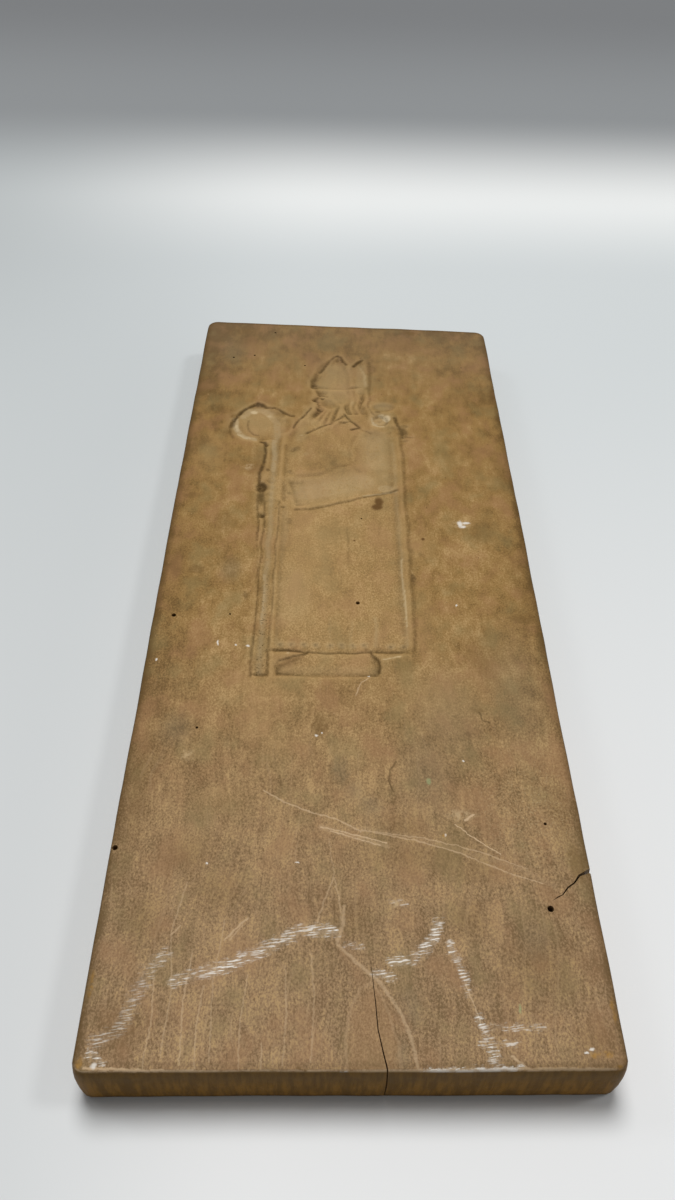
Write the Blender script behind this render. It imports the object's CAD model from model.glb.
"""A speculaas board: an old plank with a bishop carved hollow into its upper face, lying on a pale table.

Metres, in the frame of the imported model. Places on the upper face are given in millimetres, across from the
middle line of the plank and up from its near end, because that is how they are read off a board.
"""
import functools
import math

import bmesh
import bpy
import numpy as np
from bpy.props import FloatProperty, FloatVectorProperty, PointerProperty
from mathutils import Matrix, Vector
from mathutils.bvhtree import BVHTree


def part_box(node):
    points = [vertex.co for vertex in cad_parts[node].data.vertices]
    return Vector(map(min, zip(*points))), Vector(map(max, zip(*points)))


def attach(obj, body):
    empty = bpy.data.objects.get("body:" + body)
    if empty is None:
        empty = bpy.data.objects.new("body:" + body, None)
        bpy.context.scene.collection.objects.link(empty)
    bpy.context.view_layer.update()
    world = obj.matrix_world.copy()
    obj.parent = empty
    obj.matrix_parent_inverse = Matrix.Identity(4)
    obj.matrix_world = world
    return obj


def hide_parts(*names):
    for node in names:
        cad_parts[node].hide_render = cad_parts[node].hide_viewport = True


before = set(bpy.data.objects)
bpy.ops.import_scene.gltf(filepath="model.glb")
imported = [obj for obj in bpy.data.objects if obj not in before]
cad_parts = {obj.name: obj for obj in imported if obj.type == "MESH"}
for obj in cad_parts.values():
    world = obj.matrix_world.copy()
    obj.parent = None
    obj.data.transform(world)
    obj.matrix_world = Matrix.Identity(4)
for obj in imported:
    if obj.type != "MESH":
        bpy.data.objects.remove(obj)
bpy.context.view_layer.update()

bl_info = {
    "name": "Speculaas board",
    "version": (1, 0, 0),
    "blender": (4, 5, 0),
    "location": "3D View > Sidebar > Speculaas",
    "description": "Builds an old carved biscuit mould around its packed solid",
    "category": "Add Mesh",
}

MM = 0.001
LOW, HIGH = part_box("board")
LENGTH = (HIGH.y - LOW.y) / MM
WIDTH = (HIGH.x - LOW.x) / MM
THICKNESS = (HIGH.z - LOW.z) / MM

# The figure, in millimetres on the upper face
FIGURE_LEFT, FIGURE_RIGHT = -57.0, 31.0
FIGURE_FOOT, FIGURE_TOP = 137.0, 361.0
STAFF_RIGHT = -28.4
ROBE_LEFT, ROBE_RIGHT = -28.0, 24.8
HEM, SHOULDER = 152.0, 290.0
BEAD_HEIGHT = HEM + 3.4
MITRE_FOOT = 328.0


def tone(red, green, blue):
    """A colour given in the 0 to 255 of a colour picker, as the linear values that materials take."""
    def linear(value):
        share = value / 255
        return share / 12.92 if share <= 0.04045 else ((share + 0.055) / 1.055) ** 2.4
    return linear(red), linear(green), linear(blue)


def colour(name, description, default):
    """A colour that a user may change."""
    return FloatVectorProperty(name=name, description=description, subtype="COLOR", size=3, min=0, max=1,
                               default=default)


def length(name, description, default):
    """A length in metres that a user may change."""
    return FloatProperty(name=name, description=description, default=default, min=0, unit="LENGTH",
                         precision=5)


def brightness(name, description, default):
    """The strength of a light, which a user may change."""
    return FloatProperty(name=name, description=description, default=default, min=0)


def camera_angle(name, description, degrees):
    """An angle of the camera, given in degrees, which a user may change."""
    return FloatProperty(name=name, description=description, default=math.radians(degrees), subtype="ANGLE")


class BoardShape(bpy.types.PropertyGroup):
    """Sizes of the worn plank, all in metres."""

    fine_pitch: length("Fine pitch", "Width of the mesh's faces over the carving", 0.00062)
    coarse_pitch: length("Coarse pitch", "Width of the mesh's faces on the plain wood", 0.0025)
    arris: length("Arris", "How far the plank's upper edges are rounded", 0.0008)
    foot_arris: length("Foot arris", "How far the plank's lower edges are rounded", 0.0018)
    bulge: length("Bulge", "How far the worn sides stand out below the upper edge", 0.0009)
    near_corner: length("Near corner", "Radius of the near end's corners", 0.0032)
    far_corner: length("Far corner", "Radius of the far end's corners", 0.0055)
    swell: length("Swell", "How far the right side stands out beyond the nominal width", 0.0006)
    left_taper: length("Left taper", "How far the left side draws in towards the far end", 0.0026)
    right_taper: length("Right taper", "How far the right side draws in towards the far end", 0.0001)
    far_swell: length("Far swell", "How far the far end's left corner stands out", 0.0018)
    far_slant: length("Far slant", "How far the far end falls back towards the right", 0.0059)
    near_slant: length("Near slant", "How far the near end falls back towards the right", 0.0015)
    softness: length("Softness", "How far the cuts of the carving are worn round", 0.0005)
    hand_wear: length("Hand wear", "Reach of the rubbing that lowers the carving's outer edges", 0.0016)


class BoardFinish(bpy.types.PropertyGroup):
    """Colours of the old wood and of what is on it."""

    wood: colour("Wood", "The oiled fruitwood", tone(150, 117, 68))
    foot_wood: colour("Foot wood", "The pinker wood of the near end", tone(153, 123, 90))
    pale_wood: colour("Pale wood", "Rubbed and carved wood", tone(184, 151, 102))
    dark_wood: colour("Dark wood", "Handled and stained wood", tone(106, 80, 42))
    end_grain: colour("End grain", "The sawn ends", tone(128, 92, 34))
    dirt: colour("Dirt", "Old dough and grime in the cuts", tone(82, 62, 32))
    flour: colour("Flour", "Pale grey remains of flour in the hollows", tone(178, 152, 108))
    scuff: colour("Scuff", "Bright scratches in the old finish", tone(232, 226, 216))
    roughness: FloatProperty(name="Roughness", description="Roughness of the rubbed surface", default=0.52,
                             min=0, max=1, subtype="FACTOR")


class StageLook(bpy.types.PropertyGroup):
    """The table, the light and the camera."""

    table: colour("Table", "The pale table", tone(212, 217, 218))
    near_table: colour("Near table", "The table in front of the board", tone(232, 233, 233))
    bright_band: colour("Bright band", "Where the backdrop begins", tone(240, 242, 241))
    shaded_table: colour("Shaded table", "The table away from the light", tone(187, 192, 193))
    backdrop: colour("Backdrop", "The backdrop behind the board", tone(143, 146, 148))
    dark_backdrop: colour("Dark backdrop", "The far end of the backdrop", tone(124, 126, 128))
    overhead: brightness("Overhead", "Strength of the wide light overhead", 2.15)
    left_window: brightness("Left window", "Strength of the light from the left", 0.15)
    right_window: brightness("Right window", "Strength of the light from the right", 0.4)
    room: brightness("Room", "Strength of the even light of the room", 0.2)
    pitch: camera_angle("Pitch", "How far the camera looks down", 45.287)
    yaw: camera_angle("Yaw", "How far the camera is turned aside", 1.405)
    roll: camera_angle("Roll", "How far the camera is tilted", 1.859)


def find_object(name):
    """The object with this name, or an error that says which one is missing."""
    found = bpy.data.objects.get(name)
    if found is None:
        raise RuntimeError(f"{name} isn't made yet")
    return found


def new_object(name, mesh):
    """A mesh object in the scene, at the origin."""
    piece = bpy.data.objects.new(name, mesh)
    bpy.context.scene.collection.objects.link(piece)
    return piece


# The relief

# Where the photograph's viewpoint is from the middle of the near end's upper edge, in millimetres
VIEWER = (-10.33, -98.67, 280.98)

# The head, whose finer cuts are less worn: its middle and its half-sizes, and where the hair begins
HEAD = (-5, 317, 13, 13)
HAIR = -1

# Shallow hollows in the upper face, in millimetres: place, half-sizes, depth, and how flat the floor is
HOLLOWS = (
    (-41, 297.8, 13.2, 14, 1.2, 4), (-42, 310, 4.6, 4.2, 1.2, 2), (-33, 305, 5, 3.6, 1.1, 2),
    (-30.5, 297, 5.6, 7, 1.1, 2), (-5.3, 336, 10, 19.5, 1.2, 3), (17, 301.5, 6, 6.5, 0.9, 2),
    (18, 313, 4.5, 2, 0.5, 1), (-36.6, 250, 1.9, 4, 1.5, 1), (-36.3, 243, 2.2, 6, 0.9, 1),
    (-36.4, 230.5, 1.4, 2, 1.3, 1), (-36.4, 281, 1.3, 1.6, 0.9, 1), (-73, 280, 1.6, 6, 0.4, 1),
    (15.5, 151.6, 6, 1, 0.5, 1), (62.3, 48.4, 1.8, 1.2, 0.5, 1),
)

# Where the carving's steps are rubbed away: place, half-sizes and share
SOFTENED = (
    (14, 290, 10, 7, 1), (-2, 346, 13, 11, 0.6), (-17, 303, 4, 5, 0.9), (-22, 295, 4, 5, 0.9),
    (-25.6, 286, 3, 5, 0.8), (10, 338, 4, 12, 0.9), (20.5, 267, 4, 18, 0.7),
)

# Rounded limbs of the figure: points along them, half their width, and how far they go below what is there
LIMBS = (
    (((-20, 247), (13, 257.4)), 10.4, 0.7),
    (((13.6, 258), (14.2, 284)), 8.6, 0.4),
    (((-32.3, 140), (-31.8, 300)), 2.7, 0.35),
)

# Narrow cuts that hold dirt: points along them, half their width, and their strength
CUTS = (
    (((-18, 290), (-12, 295), (-7.4, 298.2)), 1, 0.75),
    (((-4.4, 300.6), (-2.6, 302.2), (-0.8, 304.4)), 1.1, 0.8),
    (((0, 306), (1.4, 303), (3.6, 299.8), (7.2, 295.2)), 0.9, 0.95),
    (((-2.6, 299.4), (2.5, 300.2)), 0.8, 0.7),
    (((3.2, 294.2), (7.2, 294.8)), 1.1, 0.95),
    (((8, 293.6), (12.4, 291.2)), 0.7, 0.5),
    (((-22, 234.4), (-16, 234.6), (0, 240.4), (12, 244.8), (23, 249.2)), 1.3, 0.6),
    (((12.8, 352), (12.9, 336), (12.3, 318)), 1.5, 0.4),
    (((24.6, 304), (25.6, 298), (26.8, 294), (27, 288)), 1.6, 0.85),
    (((-26.5, 236), (-30, 235.3)), 0.8, 0.5),
    (((-30, 152.6), (-22, 152.9), (-15.4, 151.4)), 1, 0.9),
    (((-15.2, 150.9), (-20, 149.2), (-25, 147.2)), 0.8, 0.9),
    (((-25.4, 147), (-26.4, 144.4), (-26, 141.5)), 0.7, 0.5),
    (((9.3, 152.3), (9.6, 150), (11.6, 148), (12, 145.6), (11.6, 142)), 1.1, 0.95),
    (((9.5, 152.6), (15, 152.2), (21, 152.8)), 1, 0.55),
    (((-26, 141.3), (-18, 140.2), (-10, 139.7), (0, 140.2), (11, 140.6)), 0.7, 0.4),
    (((-15, 151.8), (-8, 151.3), (0, 151.4), (9, 152)), 0.9, 0.8),
    (((0.6, 223), (0.9, 212), (0.5, 199)), 0.5, 0.3),
    (((-22, 257.6), (-12, 259.6), (-5, 264), (2, 267)), 1.8, 0.3),
    (((5, 288), (2.6, 280), (2.2, 273), (4, 266), (6.5, 262)), 1.8, 0.28),
    (((-2.6, 196), (-2.2, 188)), 0.5, 0.25),
    (((14.8, 229), (14.5, 219)), 0.5, 0.25),
    (((25.6, 292), (26.6, 284), (26.7, 250), (26.5, 200), (25.8, 156), (25.4, 153)), 1.4, 0.5),
    (((-39, 283), (-36.8, 282.4), (-36.9, 275), (-37.2, 268), (-38.6, 259), (-37.8, 247)), 1.3, 0.95),
    (((-38, 237), (-37.6, 228), (-37, 214)), 0.7, 0.75),
    (((-36.9, 212), (-36.2, 188)), 0.6, 0.4),
    (((-52.4, 286), (-54, 290), (-54.3, 294)), 1, 0.5),
    (((-54.2, 294), (-54, 298), (-52, 303), (-48.4, 308.4), (-44.5, 312.2), (-42.5, 314.4), (-40, 313.4)),
     1.3, 0.95),
    (((-40, 313.4), (-37.8, 310.6), (-34, 310.4), (-30.5, 307.6), (-26.4, 304), (-24.2, 303.6)), 1.1, 0.9),
    (((-14.8, 328), (-15.8, 334), (-14, 340)), 2.2, 0.4),
    (((-12, 342.4), (-9.6, 349), (-7.2, 353.4), (-4.8, 356.8)), 1.2, 0.7),
    (((-4.8, 357.2), (-3, 358.2), (-1.4, 357.2), (-0.4, 353.8), (1.3, 350.2)), 1.2, 0.9),
    (((4.8, 349), (7, 352.4), (9.3, 354.8)), 1.3, 0.95),
    (((-15.8, 310.6), (-19, 304.2), (-22.6, 298.6), (-24, 294)), 0.9, 0.85),
    (((11.6, 317), (11.4, 314), (13.4, 308), (14.4, 306)), 0.9, 0.6),
    (((-46.2, 299.5), (-46.3, 295), (-45, 290.8), (-42.8, 288.4), (-40.4, 288)), 0.8, 0.5),
    (((-35.7, 140), (-35.5, 175), (-35.1, 215), (-34.8, 240)), 0.9, 0.75),
    (((-29.4, 140), (-29.4, 175), (-29.1, 215), (-28.8, 240)), 0.8, 0.7),
    (((-35.6, 141), (-29.6, 140.6)), 0.8, 0.7),
    (((27, 288.4), (33.4, 288.2)), 0.6, 0.6),
)

# Soft stains in and about the figure: place, half-sizes and strength
STAINS = (
    (-10, 274, 12, 9, 0.2), (-14, 267, 9, 5, 0.2), (5, 276, 1.6, 10, 0.2), (27.4, 292, 2.6, 5, 0.75),
    (29, 297, 2.4, 1.6, 0.5), (28.4, 285.6, 1.8, 1.2, 0.5), (-33.2, 146, 2.6, 5, 0.35),
    (-5, 268, 2, 2.8, 0.4), (-22, 278, 2, 2, 0.55), (-25, 261, 1.3, 1.3, 0.5),
    (-24.5, 246, 1.1, 1.3, 0.6), (-24.5, 227.5, 1.6, 1.4, 0.45), (-37, 249.5, 3, 3.8, 1),
    (-37, 242, 2.2, 6, 0.75), (-35.8, 229.8, 1.4, 1.5, 1), (-38.4, 266, 2.4, 14, 0.3),
    (-35, 262, 0.9, 1.1, 0.9), (-36.4, 281, 1.3, 1.5, 0.8), (16.4, 308.5, 1.6, 1, 0.7),
    (27.4, 193, 1.2, 3, 0.8), (-41.6, 313, 2.6, 1.9, 0.9), (-53.4, 297, 1.3, 4, 0.7),
    (-46.4, 197, 3.6, 7, 0.3), (-51, 207, 3, 5, 0.22), (-54, 214, 2.4, 3, 0.2), (-40, 182, 1.5, 2.4, 0.3),
    (27.6, 209, 1, 2.6, 0.45), (-7.5, 203, 0.8, 0.8, 0.3), (-5, 271.5, 1, 0.9, 0.3),
    (18.4, 237.4, 0.8, 0.8, 0.35), (-29.5, 197, 0.5, 1, 0.4), (3.5, 274, 0.9, 0.9, 0.3),
    (7.6, 153, 0.7, 0.9, 0.5),
)

# Where the small rings of the hem stand
BEADS = (-25, -21, -16.5, -12, -6.5, -2, 2.4, 6.8, 16.8, 21.6)

# Pale remains of flour and rubbed rims: points along them, half their width, and their strength
FLOUR_LINES = (
    (((-19, 248.4), (6, 256.4)), 11.4, 0.52),
    (((-18, 246.4), (-2, 251.8), (8, 255)), 12.6, 0.56),
    (((8, 256), (16, 258)), 9.5, 0.42),
    (((-21, 240), (-21, 250)), 5, 0.5),
    (((14, 268), (14.4, 286)), 10.5, 0.54),
    (((-4, 322), (-3.6, 344)), 11, 0.45),
    (((8, 326), (8.6, 348)), 3.6, 0.5),
    (((-15, 312), (-19, 300), (-21, 286)), 4, 0.35),
    (((-32.6, 142), (-32.4, 200), (-32, 300)), 2.3, 0.6),
    (((-33.2, 166), (-32.9, 194)), 0.9, 0.8),
    (((22.8, 156), (22.9, 200), (22.6, 250), (22.4, 284)), 1.7, 0.55),
    (((23, 166), (23.1, 204)), 0.6, 0.9),
    (((11, 155), (11.3, 170)), 1.2, 0.55),
    (((1.4, 153), (2, 168)), 0.8, 0.4),
    (((-6, 154), (-6.6, 170)), 0.8, 0.3),
    (((-26.6, 156), (-26.8, 200), (-26.2, 228)), 1, 0.3),
    (((-52.4, 301), (-51.8, 294), (-49.4, 289), (-46.4, 286), (-42, 284.6)), 2.8, 0.75),
    (((-51.6, 296), (-50.6, 291.6)), 1.4, 1.05),
    (((-49.6, 289), (-47.2, 286.4), (-44.4, 285.2)), 1.3, 1.05),
    (((-48.4, 303), (-45, 307.6), (-40, 308.6), (-36, 305.4)), 4.4, 0.62),
    (((-35, 303), (-32, 298), (-32, 288)), 3.8, 0.6),
    (((-41.5, 297.5), (-40.5, 300)), 13, 0.4),
    (((-32.8, 284), (-32.6, 262)), 2.2, 0.75),
    (((-31, 290), (-30, 302)), 4, 0.4),
    (((8.2, 347), (10.4, 340), (10.9, 331)), 1.8, 0.62),
    (((13.2, 303), (13.4, 299.4), (15.6, 296.8), (18.6, 297)), 0.9, 1),
    (((8, 244.4), (23, 248.4)), 0.8, 0.8),
    (((13.5, 148.4), (20.5, 150.4)), 0.6, 1),
    (((-24, 142.6), (10, 142.6)), 3.2, 0.25),
)
FLOUR_SPOTS = (
    (15, 290, 5, 3, 0.45), (-22, 181, 8, 17, 0.3), (-26.4, 222, 2, 16, 0.35), (20.6, 303.6, 2.2, 2.8, 1.3),
    (18.4, 305.6, 2.2, 1.6, 0.95), (16.5, 301.4, 5.4, 6, 0.55), (14, 298, 1.8, 1.6, 0.8),
    (-43.4, 306.4, 2, 1.8, 1), (18.5, 313.6, 5.4, 3.6, 0.55), (-36, 303.6, 1.4, 1.4, 0.8),
    (4, 316, 1.2, 3, 0.55), (-22, 151, 0.8, 0.7, 1), (18, 250.5, 5, 3.6, 0.62), (8, 250, 6, 3, 0.3),
    (-20.4, 288.4, 1, 0.7, 0.7), (-12, 247, 1, 1, 0.4), (-17.6, 274, 1.2, 1.2, 0.45),
    (-6, 345, 4.5, 6, 0.5), (-22, 237.6, 2, 1.6, 0.3),
)


class Relief:
    """Heights of the upper face on an even raster, in millimetres: 0 on flat wood, negative in a hollow."""

    # The raster's pitch, its margin round the plank, and how deep a narrow cut goes
    PITCH = 0.5
    MARGIN = 2.0
    CUT_DEPTH = 0.45

    # How many cells a wide blur reaches
    WIDE = 5

    def __init__(self, node, softness, wear):
        self.columns = np.arange(-WIDTH / 2 - self.MARGIN, WIDTH / 2 + self.MARGIN, self.PITCH)
        self.rows = np.arange(-self.MARGIN, LENGTH + self.MARGIN, self.PITCH)
        self.x, self.y = np.meshgrid(self.columns, self.rows)
        cut = self.probed(node)
        head = self.around(*HEAD)
        carved = np.minimum(self.worn(cut), self.bowls())
        carved = np.minimum(carved + head * (cut - blurred(cut, self.WIDE)), 0)
        self.look_down(-blurred(carved, self.WIDE))
        carved -= self.limbs()
        cuts = self.strokes(CUTS)
        soft = blurred(carved, softness / MM / self.PITCH) - self.CUT_DEPTH * cuts
        rubbed = blurred(soft, wear / MM / self.PITCH)
        proud = np.clip(soft - rubbed, 0, None)
        self.height = soft - 0.5 * proud + self.undulation()
        self.crease = np.clip((rubbed - soft) / 0.5, 0, 1) * (1 - 0.5 * head)
        self.ridge = np.clip(proud / 0.3, 0, 1)
        self.hollow = np.clip(-blurred(carved, 2) / 1.5, 0, 1)
        beads = tuple((x, BEAD_HEIGHT, 0.8, 0.8, 0.7) for x in BEADS)
        stains = np.maximum(cuts, self.spots(STAINS + beads))
        self.stain = np.maximum(stains, self.head_dirt(cut, head))
        rims = tuple((x, BEAD_HEIGHT, 1.9, 1.7, 0.55) for x in BEADS)
        self.flour = np.maximum(self.strokes(FLOUR_LINES, 0.3), self.spots(FLOUR_SPOTS + rims))

    def probed(self, node):
        """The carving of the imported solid, felt from above."""
        mesh = node.data
        corners = [vertex.co for vertex in mesh.vertices]
        tree = BVHTree.FromPolygons(corners, [tuple(face.vertices) for face in mesh.polygons])
        down = Vector((0, 0, -1))
        heights = np.zeros(self.x.shape)
        for row, y in enumerate(self.rows):
            if not FIGURE_FOOT < y < FIGURE_TOP:
                continue
            for column, x in enumerate(self.columns):
                if not FIGURE_LEFT < x < FIGURE_RIGHT:
                    continue
                above = Vector((x * MM, LOW.y + y * MM, HIGH.z + MM))
                heights[row, column] = (tree.ray_cast(above, down)[0].z - HIGH.z) / MM
        return heights

    def around(self, x, y, half_x, half_y):
        """1 in the middle of an oval, falling to 0 at one and a half times its size."""
        return np.clip(1.5 - np.hypot((self.x - x) / half_x, (self.y - y) / half_y), 0, 1)

    def head_dirt(self, cut, head):
        """Dirt in the fine cuts of the head below the mitre, fainter in the hair."""
        fine_cuts = np.clip((blurred(cut, 2) - cut) / 0.4, 0, 1)
        share = np.clip(head * 2, 0, 1) * np.where(self.x < HAIR, 0.7, 0.25)
        return fine_cuts * share * np.clip((MITRE_FOOT - self.y) / 3, 0, 1)

    def look_down(self, depth):
        """Where each place is seen on the flat wood: farther from the viewer if deep, and a little wavy."""
        seen_x = self.x - depth * (self.x - VIEWER[0]) / VIEWER[2]
        seen_y = self.y - depth * (self.y - VIEWER[1]) / VIEWER[2]
        self.seen_x = seen_x + 0.3 * np.sin(seen_y * 0.21 + 2 * np.sin(seen_y * 0.077 + seen_x * 0.1))
        self.seen_x += 0.1 * np.sin(seen_y * 1.37 + 3 * np.sin(seen_y * 0.31))
        self.seen_y = seen_y + 0.2 * np.sin(seen_x * 0.33 + 2 * np.sin(seen_x * 0.13))
        self.seen_y += 0.1 * np.sin(seen_x * 1.51 + 3 * np.sin(seen_x * 0.37))

    def worn(self, heights):
        """The carving rubbed shallow: its depths shrink, and its long right wall leans far over."""
        shallow = -0.8 * np.clip(-heights, 0, None) ** 0.6
        shallow *= np.where(self.x < STAFF_RIGHT, 0.5, 1)
        wall = -0.55 * np.clip(ROBE_RIGHT - self.x, 0, None)
        robe = (self.x > ROBE_LEFT) & (self.y > HEM - 2) & (self.y < SHOULDER)
        shallow = np.where(robe, np.maximum(shallow, wall), shallow)
        softer = blurred(shallow, 8)
        for *oval, share in SOFTENED:
            shallow += share * self.around(*oval) * (softer - shallow)
        return shallow

    def bowls(self):
        """Shallow hollows and damage."""
        heights = np.zeros(self.x.shape)
        for x, y, half_x, half_y, depth, flatness in HOLLOWS:
            share = ((self.x - x) / half_x) ** 2 + ((self.y - y) / half_y) ** 2
            heights = np.minimum(heights, -depth * np.sqrt(np.clip(1 - share ** flatness, 0, None)))
        return heights

    def distance(self, points):
        """How far each place is from a line through points."""
        nearest = np.full(self.x.shape, 1e3)
        for (x0, y0), (x1, y1) in zip(points, points[1:]):
            run_x, run_y = x1 - x0, y1 - y0
            along = ((self.seen_x - x0) * run_x + (self.seen_y - y0) * run_y) / (run_x ** 2 + run_y ** 2)
            along = np.clip(along, 0, 1)
            gap = np.hypot(self.seen_x - x0 - along * run_x, self.seen_y - y0 - along * run_y)
            nearest = np.minimum(nearest, gap)
        return nearest

    def limbs(self):
        """How far the rounded arm, sleeve and staff go below the rest."""
        depth = np.zeros(self.x.shape)
        for points, half, deep in LIMBS:
            round_section = np.sqrt(np.clip(1 - (self.distance(points) / half) ** 2, 0, None))
            depth = np.maximum(depth, deep * round_section)
        return depth

    def strokes(self, lines, core=0.2):
        """1 along the lines, falling to 0 at half their width, times their strength."""
        mask = np.zeros(self.x.shape)
        for points, half, strength in lines:
            rise = np.clip((1 - self.distance(points) / half) / (1 - core), 0, 1)
            mask = np.maximum(mask, strength * rise * rise * (3 - 2 * rise))
        return mask

    def spots(self, ovals):
        """1 in the ovals, falling to 0 at their edges, times their strength."""
        mask = np.zeros(self.x.shape)
        for x, y, half_x, half_y, strength in ovals:
            share = np.hypot((self.seen_x - x) / half_x, (self.seen_y - y) / half_y)
            rise = np.clip((1.25 - share) / 0.6, 0, 1)
            mask = np.maximum(mask, strength * rise * rise * (3 - 2 * rise))
        return mask

    def undulation(self):
        """Shallow waves that the hand plane and the years left."""
        grooves = 0.05 * np.sin(self.x / 4.1 + 0.8 * np.sin(self.y / 47))
        grooves += 0.04 * np.sin(self.x / 11 + self.y / 90)
        swells = 0.05 * np.sin(self.y / 23 + 1.3 * np.sin(self.x / 31))
        swells += 0.03 * np.sin(self.y / 7.7 + self.x / 19)
        return grooves + swells - 0.15

    def at(self, field, x, y):
        """A field of the raster at places between its points."""
        across = np.clip((x - self.columns[0]) / self.PITCH, 0, len(self.columns) - 1.001)
        up = np.clip((y - self.rows[0]) / self.PITCH, 0, len(self.rows) - 1.001)
        column, row = across.astype(int), up.astype(int)
        right, top = across - column, up - row
        low = field[row, column] * (1 - right) + field[row, column + 1] * right
        high = field[row + 1, column] * (1 - right) + field[row + 1, column + 1] * right
        return low * (1 - top) + high * top


def blurred(field, reach):
    """A field smoothed by a bell-shaped kernel, whose reach is given in cells."""
    span = math.ceil(3 * reach)
    weights = np.exp(-0.5 * (np.arange(-span, span + 1) / reach) ** 2)
    weights /= weights.sum()
    for axis in (0, 1):
        sides = [(span, span) if side == axis else (0, 0) for side in (0, 1)]
        padded = np.pad(field, sides, mode="edge")
        cells = range(field.shape[axis])
        field = sum(
            weight * np.take(padded, [cell + shift for cell in cells], axis=axis)
            for shift, weight in enumerate(weights)
        )
    return field


# The plank's mesh

def graded(stops, pitches):
    """Coordinates from the first stop to the last, with a pitch of its own between each two."""
    steps = []
    for start, end, pitch in zip(stops, stops[1:], pitches):
        count = max(1, round((end - start) / pitch))
        steps.extend(np.linspace(start, end, count, endpoint=False))
    return np.array([*steps, stops[-1]])


class Outline:
    """The plank seen from above: four sides that aren't quite square, with rounded corners."""

    def __init__(self, shape):
        self.near_corner = shape.near_corner / MM
        self.far_corner = shape.far_corner / MM
        self.swell = shape.swell / MM
        self.far_swell = shape.far_swell / MM
        self.left_taper = shape.left_taper / MM
        self.right_taper = shape.right_taper / MM
        self.far_slant = shape.far_slant / MM
        self.near_slant = shape.near_slant / MM

    def core(self, y):
        """Half the width and half the length of what lies within the corners of the end nearer to y."""
        corner = self.near_corner if y < LENGTH / 2 else self.far_corner
        return WIDTH / 2 - corner, LENGTH / 2 - corner

    def away(self, x, y):
        """Which way is out, for a place on an upright rectangle's rounded edge."""
        half_x, half_y = self.core(y)
        middle = y - LENGTH / 2
        out = Vector((x - max(-half_x, min(half_x, x)), middle - max(-half_y, min(half_y, middle))))
        return out.normalized() if out.length > 0 else out

    def rounded(self, x, y):
        """Draws the square corners of a rectangle in to quarter circles."""
        half_x, half_y = self.core(y)
        over_x = abs(x) - half_x
        over_y = abs(y - LENGTH / 2) - half_y
        if min(over_x, over_y) <= 0:
            return x, y
        share = max(over_x, over_y) / math.hypot(over_x, over_y)
        return (
            math.copysign(half_x + over_x * share, x),
            LENGTH / 2 + math.copysign(half_y + over_y * share, y - LENGTH / 2),
        )

    def skewed(self, x, y):
        """Leans the sides and slants the ends."""
        up = y / LENGTH
        across = x / WIDTH + 0.5
        left = -WIDTH / 2 + self.left_taper * up ** 2
        right = WIDTH / 2 + self.swell - self.right_taper * up ** 2
        near = self.near_slant * across
        far = LENGTH + self.far_swell - self.far_slant * across
        return left + (right - left) * across, near + (far - near) * up


def edge_waviness(x, y):
    """Small unevenness of the plank's sides, in millimetres."""
    long_waves = 0.1 * math.sin(y / 31 + 0.4) + 0.06 * math.sin(y / 11.3) + 0.08 * math.sin(x / 17)
    short_waves = 0.05 * math.sin(y / 4.1 + math.sin(y / 13)) + 0.04 * math.sin(x / 3.3 + math.sin(x / 9))
    return long_waves + short_waves


def plank_mesh(shape, relief):
    """The closed plank, whose upper face follows the relief."""
    outline = Outline(shape)
    bm = bmesh.new()
    worn = bm.verts.layers.float.new("arris")
    upper_face(bm, shape, outline, worn)
    plank_sides(bm, shape, outline, worn)
    for vertex in bm.verts:
        if vertex.co.z < 0:
            waviness = edge_waviness(vertex.co.x, vertex.co.y)
            vertex.co.xy += outline.away(vertex.co.x, vertex.co.y) * min(0, waviness - 0.2)
        vertex.co.x, vertex.co.y = outline.skewed(vertex.co.x, vertex.co.y)
    mesh = bpy.data.meshes.new("plank")
    bm.to_mesh(mesh)
    bm.free()
    follow_relief(mesh, relief)
    return mesh


def upper_face(bm, shape, outline, worn):
    """A flat grid within the outline, finer over the figure and worn along its rim."""
    fine, coarse = shape.fine_pitch / MM, shape.coarse_pitch / MM
    arris = shape.arris / MM
    side, end = WIDTH / 2 - arris, LENGTH - arris
    rim = shape.far_corner / MM + 1
    pitches = (1, coarse, fine, coarse, 1)
    columns = graded((-side, rim - side, FIGURE_LEFT, FIGURE_RIGHT, side - rim, side), pitches)
    rows = graded((arris, arris + rim, FIGURE_FOOT, FIGURE_TOP, end - rim, end), pitches)
    bmesh.ops.create_grid(bm, x_segments=len(columns) - 1, y_segments=len(rows) - 1, size=1)
    for vertex in bm.verts:
        x = columns[round((vertex.co.x + 1) / 2 * (len(columns) - 1))]
        y = rows[round((vertex.co.y + 1) / 2 * (len(rows) - 1))]
        vertex.co.x, vertex.co.y = outline.rounded(x, y)
        vertex.co.z = 0
        inward = min(side - abs(x), y - arris, end - y)
        vertex[worn] = 0.6 * max(0, 1 - inward / 2.2)


def plank_sides(bm, shape, outline, worn):
    """Extrudes the upper face's rim down to the underside, ring by ring, and closes it there."""
    reached = 0
    for offset, drop, wear in plank_profile(shape.arris / MM, shape.foot_arris / MM, shape.bulge / MM):
        rim = [edge for edge in bm.edges if edge.is_boundary]
        new = bmesh.ops.extrude_edge_only(bm, edges=rim)["geom"]
        for vertex in (item for item in new if isinstance(item, bmesh.types.BMVert)):
            vertex.co.xy += outline.away(vertex.co.x, vertex.co.y) * (offset - reached)
            vertex.co.z = -drop
            vertex[worn] = wear
        reached = offset
    bmesh.ops.holes_fill(bm, edges=[edge for edge in bm.edges if edge.is_boundary])
    bmesh.ops.recalc_face_normals(bm, faces=bm.faces)


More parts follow.
